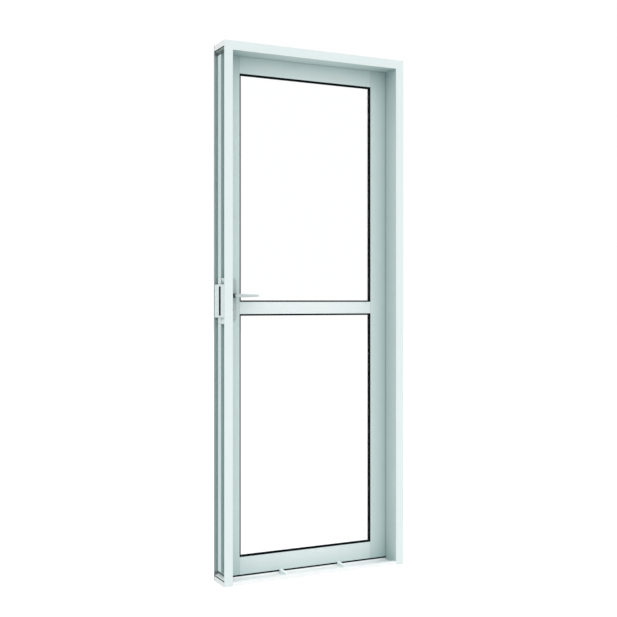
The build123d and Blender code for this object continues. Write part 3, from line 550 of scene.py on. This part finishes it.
@dataclass(frozen=True)
class ClearGlass:
    """Clear float glass with a trace of green and a very slight waviness."""

    name: str
    colour: tuple[float, float, float] = (0.985, 1.0, 0.995)
    ior: float = 1.5
    alpha: float = 0.3
    wave: float = 7.0
    wave_strength: float = 0.04
    wave_height: float = 0.0004

    def build(self) -> bpy.types.Material:
        """Make the material.

        Returns:
            The glass material.
        """
        nodes = Nodes(self.name)
        nodes.values(nodes.shader, Base_Color=(*self.colour, 1.0), Roughness=0.0, IOR=self.ior)
        nodes.values(nodes.shader, Alpha=self.alpha, Transmission_Weight=1.0)
        wave = nodes.noise(self.wave, 1.0)
        relief = nodes.bump(wave, "Fac", self.wave_strength, self.wave_height)
        nodes.join(relief, "Normal", nodes.shader, "Normal")
        return nodes.material


@dataclass(frozen=True)
class Metal:
    """Bare or plated metal with drawn lines and small changes in gloss."""

    name: str
    colour: tuple[float, float, float]
    rough: float
    lines: tuple[float, float, float]
    shade: float = 0.86
    line_scale: float = 500.0
    rough_spread: float = 0.08
    line_strength: float = 0.1
    line_height: float = 0.00005

    def build(self) -> bpy.types.Material:
        """Make the material.

        Returns:
            The metal material.
        """
        nodes = Nodes(self.name)
        nodes.values(nodes.shader, Metallic=1.0)
        drawn = nodes.stretched_noise(self.lines, self.line_scale, 3.0)
        deep = tuple(channel * self.shade for channel in self.colour)
        colour = nodes.tint(drawn, "Fac", deep, self.colour)
        nodes.join(colour, MIX_COLOUR, nodes.shader, "Base Color")
        glossy, matt = self.rough - self.rough_spread, self.rough + self.rough_spread
        rough = nodes.spread(drawn, "Fac", glossy, matt)
        nodes.join(rough, "Result", nodes.shader, "Roughness")
        relief = nodes.bump(drawn, "Fac", self.line_strength, self.line_height)
        nodes.join(relief, "Normal", nodes.shader, "Normal")
        return nodes.material


class Palette:
    """Every finish of the door, built once."""

    def __init__(self) -> None:
        """Build all the materials."""
        # Painted shade inside the frame's outer channels and on their ribs.
        self.frame = PowderCoat("powder_coat_frame", channel_shade=(0.82, 0.835, 0.835)).build()
        self.leaf = PowderCoat("powder_coat_leaf", shade_kept=(0.40, 0.55, 0.55)).build()
        # Painted light on the rails and painted shade on the stiles: lighter and darker copies of
        # one coat.
        self.rail = PowderCoat(
            "powder_coat_rail_painted_light", colour=(0.835, 0.89, 0.885), shade_kept=(0.42, 0.56, 0.56)
        ).build()
        self.stile = PowderCoat(
            "powder_coat_stile_painted_shade", colour=(0.735, 0.815, 0.81), shade_kept=(0.38, 0.53, 0.53)
        ).build()
        self.sill = PowderCoat(
            "powder_coat_sill", colour=(0.985, 0.985, 0.985), rough=0.42, shade_kept=(0.97, 0.99, 0.99)
        ).build()
        # Painted shade on the strike box deep in the channel above the door's middle, and on its
        # rear edge.
        self.moulding = Moulding(
            "white_moulding", ledge_shade_above=(0.80, 0.82, 0.82), ledge_inside=0.3855, rear_edge=0.0478
        ).build()
        # Deep painted shade on the upper end blocks, most on their ledges; almost none on the lower
        # ones.
        self.end_moulding = Moulding(
            "end_block_moulding",
            colour=(0.93, 0.95, 0.95),
            shade_kept=(0.90, 1.0, 1.0),
            shade_kept_above=(0.10, 0.18, 0.18),
            ledge_shade_above=(0.56, 0.62, 0.62),
        ).build()
        self.fittings = PowderCoat(
            "powder_coat_fittings",
            colour=(0.585, 0.635, 0.635),
            rough=0.36,
            peel=1800.0,
            shade_kept=(0.42, 0.56, 0.56),
        ).build()
        self.glass = ClearGlass("float_glass").build()
        self.rubber = Rubber("black_rubber").build()
        # Grey painted shade on the lips of the end seals.
        self.end_rubber = Rubber("end_seal_rubber", lip=(0.215, 0.245, 0.25)).build()
        self.plastic = Moulding("black_plastic", colour=(0.019, 0.029, 0.030)).build()
        self.aluminium = Metal("mill_aluminium", (0.62, 0.64, 0.65), 0.42, (1.0, 1.0, 0.04)).build()
        self.nickel = Metal("nickel_plate", (0.46, 0.50, 0.50), 0.26, (1.0, 0.1, 1.0)).build()
        self.steel = Metal("zinc_steel", (0.46, 0.49, 0.50), 0.36, (1.0, 1.0, 0.1)).build()


def dress(names: list[str], material: bpy.types.Material) -> None:
    """Give CAD nodes one finish.

    Args:
        names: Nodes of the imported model.
        material: Their new material.
    """
    for name in names:
        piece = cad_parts[name]
        piece.data.materials.clear()
        piece.data.materials.append(material)
        log.info("dressed %s in %s", name, material.name)


# Sub-assemblies


@dataclass
class DoorFrame:
    """Jambs, head, sill and what is fixed to them."""

    palette: Palette
    extrusions: list[str] = field(default_factory=lambda: ["left_jamb", "right_jamb", "head"])
    mouldings: list[str] = field(
        default_factory=lambda: ["end_blocks_left", "end_blocks_right", "sill_stops"]
    )
    seals: list[str] = field(
        default_factory=lambda: ["rebate_seal_left", "rebate_seal_right", "rebate_seal_top"]
    )
    steel: list[str] = field(default_factory=lambda: ["strike_plate", "sill_screws"])

    def build(self) -> None:
        """Dress the whole frame."""
        dress(self.extrusions, self.palette.frame)
        dress(["sill"], self.palette.sill)
        dress(self.mouldings, self.palette.end_moulding)
        dress(["strike_box"], self.palette.moulding)
        dress(self.seals, self.palette.rubber)
        dress(["end_seals"], self.palette.end_rubber)
        dress(self.steel, self.palette.steel)
        dress(["corner_cleats"], self.palette.aluminium)
        dress(["strike_liner"], self.palette.plastic)


@dataclass
class StrikeBoxShoulders:
    """Moulded shoulders from the strike box to the cut ends of the jamb's rib.

    Each has a bar that carries on the rib's outer face, and a ramp beside it that rises from
    the box to the rib.
    """

    palette: Palette
    base_face: float = -0.385
    rib_face: float = -0.396
    upper_ramp_foot: float = -0.3875
    lower_ramp_foot: float = -0.3940
    near: float = -0.0515
    rib_near: float = -0.010
    rib_far: float = 0.022
    middle: float = 1.098
    box_half: float = 0.0647
    rib_half: float = 0.0887
    joint: float = 0.0002
    edge_radius: float = 0.0006

    def build(self) -> None:
        """Make both shoulders as one piece."""
        work = bmesh.new()
        for side, foot in ((-1.0, self.lower_ramp_foot), (1.0, self.upper_ramp_foot)):
            box = self.middle + side * self.box_half
            rib = self.middle + side * self.rib_half
            seat = [(self.rib_face, rib), (self.base_face, rib), (self.base_face, box)]
            ramp = [*seat, (foot, box)]
            bar = [*seat, (self.rib_face, box)]
            self._prism(work, ramp, self.near, self.rib_near - self.joint)
            self._prism(work, bar, self.rib_near, self.rib_far)
        bmesh.ops.recalc_face_normals(work, faces=work.faces)
        bmesh.ops.bevel(
            work,
            geom=list(work.edges),
            offset=self.edge_radius,
            segments=2,
            profile=0.5,
            affect="EDGES",
        )
        mesh = bpy.data.meshes.new("strike_box_shoulders")
        work.to_mesh(mesh)
        work.free()
        mesh.materials.append(self.palette.moulding)
        shoulders = bpy.data.objects.new("strike_box_shoulders", mesh)
        bpy.context.scene.collection.objects.link(shoulders)
        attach(shoulders, "frame")
        log.info("made the shoulders of the strike box")

    def _prism(
        self, work: bmesh.types.BMesh, profile: list[tuple[float, float]], start: float, end: float
    ) -> None:
        """Add a profile in X and Z, drawn out along Y.

        Args:
            work: The mesh that it is added to.
            profile: Corners as (x, z).
            start: Where it starts on Y.
            end: Where it ends on Y.
        """
        first = [work.verts.new((x, start, z)) for x, z in profile]
        last = [work.verts.new((x, end, z)) for x, z in profile]
        work.faces.new(first)
        work.faces.new(list(reversed(last)))
        for i in range(len(profile)):
            j = (i + 1) % len(profile)
            work.faces.new((first[i], last[i], last[j], first[j]))


@dataclass
class Leaf:
    """Stiles, rails, panes, gaskets and beads."""

    palette: Palette
    profiles: list[str] = field(default_factory=lambda: ["top_rail", "beads_lower", "beads_upper"])
    rubbers: list[str] = field(
        default_factory=lambda: [
            "front_gasket_lower",
            "front_gasket_upper",
            "rear_gasket_lower",
            "rear_gasket_upper",
            "bottom_seal",
        ]
    )

    def build(self) -> None:
        """Dress the whole leaf."""
        dress(self.profiles, self.palette.leaf)
        # The rails take the painted-light copy of the coat, the stiles the painted-shade copy.
        dress(["mid_rail", "bottom_rail"], self.palette.rail)
        dress(["lock_stile", "hinge_stile"], self.palette.stile)
        dress(self.rubbers, self.palette.rubber)
        dress(["glass_lower", "glass_upper"], self.palette.glass)
        dress(["setting_blocks"], self.palette.plastic)
        dress(["rail_cleats"], self.palette.aluminium)


@dataclass
class Fittings:
    """Lock, levers, plates and hinges."""

    palette: Palette
    painted: list[str] = field(
        default_factory=lambda: [
            "plate_front",
            "plate_rear",
            "lever_front",
            "lever_rear",
            "hinge_frame_wing_bottom",
            "hinge_frame_wing_middle",
            "hinge_frame_wing_top",
            "hinge_leaf_wing_bottom",
            "hinge_leaf_wing_middle",
            "hinge_leaf_wing_top",
        ]
    )
    nickel: list[str] = field(default_factory=lambda: ["cylinder_body", "cylinder_plugs"])
    steel: list[str] = field(
        default_factory=lambda: [
            "lock_case",
            "lock_faceplate",
            "cylinder_cam",
            "hinge_pins",
            "spindle",
            "follower",
            "latch_bolt",
            "deadbolt",
        ]
    )
    screws: dict[str, tuple[str, int]] = field(
        default_factory=lambda: {
            "strike_screws": ("frame", 0),
            "hinge_frame_screws": ("frame", 1),
            "hinge_leaf_screws": ("leaf", 1),
            "plate_screws": ("leaf", 1),
            "faceplate_screws": ("leaf", 0),
            "cylinder_screw": ("leaf", 0),
        }
    )

    def build(self) -> None:
        """Dress every fitting."""
        dress(self.painted, self.palette.fittings)
        dress(self.nickel, self.palette.nickel)
        dress(self.steel, self.palette.steel)
        dress(["lock_lugs"], self.palette.aluminium)
        dress(["lever_bushes"], self.palette.plastic)
        for node, (body, along) in self.screws.items():
            CrossRecessScrews(node, body, along, self.palette.steel).build()


@dataclass
class CrossRecessScrews:
    """The screws of one node, each with a cross recess cut into its head."""

    node: str
    body: str
    along: int
    material: bpy.types.Material
    arm: float = 0.62
    width: float = 0.00115
    depth: float = 0.0016
    floor_share: float = 0.55
    lead: float = 0.0004
    weld: float = 1e-6
    flat: float = 1e-5

    def build(self) -> None:
        """Cut the recesses and put the result in place of the node."""
        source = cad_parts[self.node]
        mesh = self._welded(source.data)
        cutter = self._cutter(mesh)
        screws = bpy.data.objects.new(f"{self.node}_cross", mesh)
        bpy.context.scene.collection.objects.link(screws)
        cut = screws.modifiers.new("recess", "BOOLEAN")
        cut.operation = "DIFFERENCE"
        cut.solver = "EXACT"
        cut.object = cutter
        graph = bpy.context.evaluated_depsgraph_get()
        result = bpy.data.meshes.new_from_object(screws.evaluated_get(graph))
        screws.modifiers.clear()
        screws.data = result
        bpy.data.objects.remove(cutter)
        result.materials.clear()
        result.materials.append(self.material)
        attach(screws, self.body)
        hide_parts(self.node)
        log.info("cut the cross recesses of %s", self.node)

    def _welded(self, data: bpy.types.Mesh) -> bpy.types.Mesh:
        """A copy of a mesh with the doubled points along its edges joined.

        Args:
            data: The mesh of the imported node.

        Returns:
            The closed copy.
        """
        work = bmesh.new()
        work.from_mesh(data)
        bmesh.ops.remove_doubles(work, verts=work.verts, dist=self.weld)
        mesh = bpy.data.meshes.new(f"{self.node}_welded")
        work.to_mesh(mesh)
        work.free()
        return mesh

    def _shells(self, work: bmesh.types.BMesh) -> list[list[Vector]]:
        """The points of each separate screw.

        Args:
            work: All the screws in one mesh.

        Returns:
            A list of points for each screw.
        """
        seen: set[int] = set()
        shells = []
        for start in work.verts:
            if start.index in seen:
                continue
            seen.add(start.index)
            front, shell = [start], []
            while front:
                point = front.pop()
                shell.append(point.co.copy())
                for edge in point.link_edges:
                    other = edge.other_vert(point)
                    if other.index not in seen:
                        seen.add(other.index)
                        front.append(other)
            shells.append(shell)
        return shells

    def _cutter(self, mesh: bpy.types.Mesh) -> bpy.types.Object:
        """Tapered crosses, one over each screw head.

        Args:
            mesh: All the screws in one mesh.

        Returns:
            The object that holds the crosses.
        """
        work = bmesh.new()
        work.from_mesh(mesh)
        work.verts.index_update()
        crosses = bmesh.new()
        for shell in self._shells(work):
            self._cross(crosses, shell)
        work.free()
        bmesh.ops.recalc_face_normals(crosses, faces=crosses.faces)
        data = bpy.data.meshes.new(f"{self.node}_crosses")
        crosses.to_mesh(data)
        crosses.free()
        cutter = bpy.data.objects.new(f"{self.node}_crosses", data)
        bpy.context.scene.collection.objects.link(cutter)
        return cutter

    def _cross(self, crosses: bmesh.types.BMesh, shell: list[Vector]) -> None:
        """Add the cross of one screw.

        Args:
            crosses: The mesh that the cross is added to.
            shell: The points of the screw.
        """
        along = self.along
        across = [axis for axis in range(3) if axis != along]
        middle = [
            (max(p[axis] for p in shell) + min(p[axis] for p in shell)) / 2 for axis in range(3)
        ]
        ends = (min(p[along] for p in shell), max(p[along] for p in shell))
        radii = [self._end_radius(shell, end, across, middle) for end in ends]
        head = radii.index(max(radii))
        outward = 1.0 if head == 1 else -1.0
        length, half = self.arm * radii[head], self.width / 2
        quarter = [(length, -half), (length, half), (half, half)]
        outline = []
        for _ in range(4):
            outline += quarter
            quarter = [(-v, u) for u, v in quarter]
        rings = []
        for lift, share in ((self.lead, 1.0), (-self.depth, self.floor_share)):
            limit = length * share
            ring = []
            for u, v in outline:
                place = [0.0, 0.0, 0.0]
                place[along] = ends[head] + outward * lift
                place[across[0]] = middle[across[0]] + max(-limit, min(limit, u))
                place[across[1]] = middle[across[1]] + max(-limit, min(limit, v))
                ring.append(crosses.verts.new(place))
            rings.append(ring)
        top, low = rings
        crosses.faces.new(top)
        crosses.faces.new(list(reversed(low)))
        for i in range(len(outline)):
            j = (i + 1) % len(outline)
            crosses.faces.new((top[i], low[i], low[j], top[j]))

    def _end_radius(
        self, shell: list[Vector], end: float, across: list[int], middle: list[float]
    ) -> float:
        """Radius of a screw at one of its ends.

        Args:
            shell: The points of the screw.
            end: Where the end lies along the screw.
            across: The two axes across the screw.
            middle: The middle of the screw on each axis.

        Returns:
            The largest distance from the screw's axis of a point at that end.
        """
        u, v = across
        return max(
            math.hypot(p[u] - middle[u], p[v] - middle[v])
            for p in shell
            if abs(p[self.along] - end) < self.flat
        )


# Studio


@dataclass
class Studio:
    """Pale floor, soft light and the camera."""

    camera_place: tuple[float, float, float] = (-1.834, -3.700, 1.098)
    camera_forward: tuple[float, float, float] = (0.4415, 0.8973, 0.0)
    image_side: float = 617.0
    focal_pixels: float = 1019.0
    horizon_row: float = 301.0
    floor_side: float = 60.0
    level: float = 0.50
    overhead: float = 0.75
    key: float = 0.52
    key_from: tuple[float, float, float] = (0.45, -0.80, 0.40)
    floor_bounce: float = 0.76
    floor_grey: float = 0.30
    floor_glow: float = 0.82
    dome_colour: tuple[float, float, float] = (0.96, 1.0, 1.0)
    key_colour: tuple[float, float, float] = (1.0, 0.98, 0.97)
    sensor_width: float = 36.0

    def build(self) -> None:
        """Set up the floor, the light and the camera."""
        self._floor()
        self._world()
        self._camera()
        scene = bpy.context.scene
        scene.view_settings.view_transform = "Standard"
        log.info("studio ready")

    def _floor(self) -> None:
        """A large pale floor that keeps the object's shadow and otherwise reads as white."""
        half = self.floor_side / 2
        mesh = bpy.data.meshes.new("floor")
        corners = [(-half, -half, 0.0), (half, -half, 0.0), (half, half, 0.0), (-half, half, 0.0)]
        mesh.from_pydata(corners, [], [(0, 1, 2, 3)])
        floor = bpy.data.objects.new("floor", mesh)
        bpy.context.scene.collection.objects.link(floor)
        nodes = Nodes("studio_floor")
        diffuse = nodes.add("ShaderNodeBsdfDiffuse")
        diffuse.inputs["Color"].default_value = (self.floor_bounce,) * 3 + (1.0,)
        seen = nodes.add("ShaderNodeBsdfDiffuse")
        seen.inputs["Color"].default_value = (self.floor_grey,) * 3 + (1.0,)
        glow = nodes.add("ShaderNodeEmission")
        nodes.values(glow, Color=(*WHITE, 1.0), Strength=self.floor_glow)
        shown = nodes.add("ShaderNodeAddShader")
        nodes.join(seen, 0, shown, 0)
        nodes.join(glow, 0, shown, 1)
        path = nodes.add("ShaderNodeLightPath")
        choose = nodes.add("ShaderNodeMixShader")
        direct = self._seen_directly(nodes, path)
        nodes.join(direct, 0, choose, 0)
        nodes.join(diffuse, 0, choose, 1)
        nodes.join(shown, 0, choose, 2)
        nodes.join(choose, 0, nodes.output, "Surface")
        mesh.materials.append(nodes.material)
        floor.visible_shadow = False

    def _seen_directly(self, nodes: Nodes, path: bpy.types.Node) -> bpy.types.Node:
        """A value that is 1 for rays from the camera, mirrors and glass.

        Args:
            nodes: The material in the making.
            path: Its light path node.

        Returns:
            The node that gives the value.
        """
        first = nodes.add("ShaderNodeMath", operation="MAXIMUM")
        nodes.join(path, "Is Camera Ray", first, 0)
        nodes.join(path, "Is Glossy Ray", first, 1)
        second = nodes.add("ShaderNodeMath", operation="MAXIMUM")
        nodes.join(first, 0, second, 0)
        nodes.join(path, "Is Transmission Ray", second, 1)
        return second

    def _world(self) -> None:
        """A soft dome, white to the camera, to mirrors and through glass."""
        world = bpy.data.worlds.new("studio")
        bpy.context.scene.world = world
        world.use_nodes = True
        tree = world.node_tree
        tree.nodes.clear()
        output = tree.nodes.new("ShaderNodeOutputWorld")
        light = self._soft_light(tree)
        shown = tree.nodes.new("ShaderNodeBackground")
        shown.inputs["Color"].default_value = (*WHITE, 1.0)
        shown.inputs["Strength"].default_value = 1.0
        path = tree.nodes.new("ShaderNodeLightPath")
        seen = tree.nodes.new("ShaderNodeMath")
        seen.operation = "MAXIMUM"
        choose = tree.nodes.new("ShaderNodeMixShader")
        mirrored = tree.nodes.new("ShaderNodeMath")
        mirrored.operation = "MAXIMUM"
        tree.links.new(path.outputs["Is Camera Ray"], seen.inputs[0])
        tree.links.new(path.outputs["Is Transmission Ray"], seen.inputs[1])
        tree.links.new(seen.outputs[0], mirrored.inputs[0])
        tree.links.new(path.outputs["Is Glossy Ray"], mirrored.inputs[1])
        tree.links.new(mirrored.outputs[0], choose.inputs[0])
        tree.links.new(light.outputs[0], choose.inputs[1])
        tree.links.new(shown.outputs[0], choose.inputs[2])
        tree.links.new(choose.outputs[0], output.inputs["Surface"])

    def _soft_light(self, tree: bpy.types.NodeTree) -> bpy.types.Node:
        """A dome that grows brighter to the zenith, with a broad soft key from the front.

        Args:
            tree: The world's nodes.

        Returns:
            The shader that adds the two.
        """
        place = tree.nodes.new("ShaderNodeTexCoord")
        up = (0.0, 0.0, 1.0)
        dome = self._towards(tree, place, up, self.overhead, self.level, self.dome_colour)
        key = self._towards(tree, place, self.key_from, self.key, 0.0, self.key_colour)
        both = tree.nodes.new("ShaderNodeAddShader")
        tree.links.new(dome.outputs[0], both.inputs[0])
        tree.links.new(key.outputs[0], both.inputs[1])
        return both

    def _towards(
        self,
        tree: bpy.types.NodeTree,
        place: bpy.types.Node,
        middle: tuple[float, float, float],
        strength: float,
        level: float,
        colour: tuple[float, float, float],
    ) -> bpy.types.Node:
        """Light from above the horizon that is strongest from one direction.

        It falls evenly from level and strength together, where it is strongest, to the level
        alone at right angles to that direction.

        Args:
            tree: The world's nodes.
            place: Node that gives the direction.
            middle: The direction it is strongest from.
            strength: How much is added there.
            level: What comes from everywhere.
            colour: Its colour.

        Returns:
            The background node.
        """
        along = tree.nodes.new("ShaderNodeVectorMath")
        along.operation = "DOT_PRODUCT"
        along.inputs[1].default_value = middle
        rise = tree.nodes.new("ShaderNodeMapRange")
        rise.inputs["To Min"].default_value = level
        rise.inputs["To Max"].default_value = level + strength
        light = tree.nodes.new("ShaderNodeBackground")
        light.inputs["Color"].default_value = (*colour, 1.0)
        split = tree.nodes.new("ShaderNodeSeparateXYZ")
        above = tree.nodes.new("ShaderNodeMath")
        above.operation = "GREATER_THAN"
        above.inputs[1].default_value = 0.0
        upper = tree.nodes.new("ShaderNodeMath")
        upper.operation = "MULTIPLY"
        tree.links.new(place.outputs["Generated"], along.inputs[0])
        tree.links.new(place.outputs["Generated"], split.inputs[0])
        tree.links.new(split.outputs["Z"], above.inputs[0])
        tree.links.new(along.outputs["Value"], rise.inputs["Value"])
        tree.links.new(rise.outputs["Result"], upper.inputs[0])
        tree.links.new(above.outputs[0], upper.inputs[1])
        tree.links.new(upper.outputs[0], light.inputs["Strength"])
        return light

    def _camera(self) -> None:
        """The camera at the photograph's viewpoint."""
        data = bpy.data.cameras.new("camera")
        camera = bpy.data.objects.new("camera", data)
        bpy.context.scene.collection.objects.link(camera)
        data.sensor_width = self.sensor_width
        data.lens = self.focal_pixels / self.image_side * data.sensor_width
        data.shift_y = (self.horizon_row - self.image_side / 2) / self.image_side
        camera.location = self.camera_place
        camera.rotation_mode = "QUATERNION"
        camera.rotation_quaternion = Vector(self.camera_forward).to_track_quat("-Z", "Y")
        bpy.context.scene.camera = camera


def main() -> None:
    """Build the door in order and report each piece."""
    logging.basicConfig(level=logging.INFO, format="%(name)s: %(message)s")
    palette = Palette()
    assemblies = (DoorFrame, StrikeBoxShoulders, Leaf, Fittings)
    for part in (*(assembly(palette) for assembly in assemblies), Studio()):
        part.build()
        log.info("built %s", type(part).__name__)


if __name__ == "__main__":
    main()
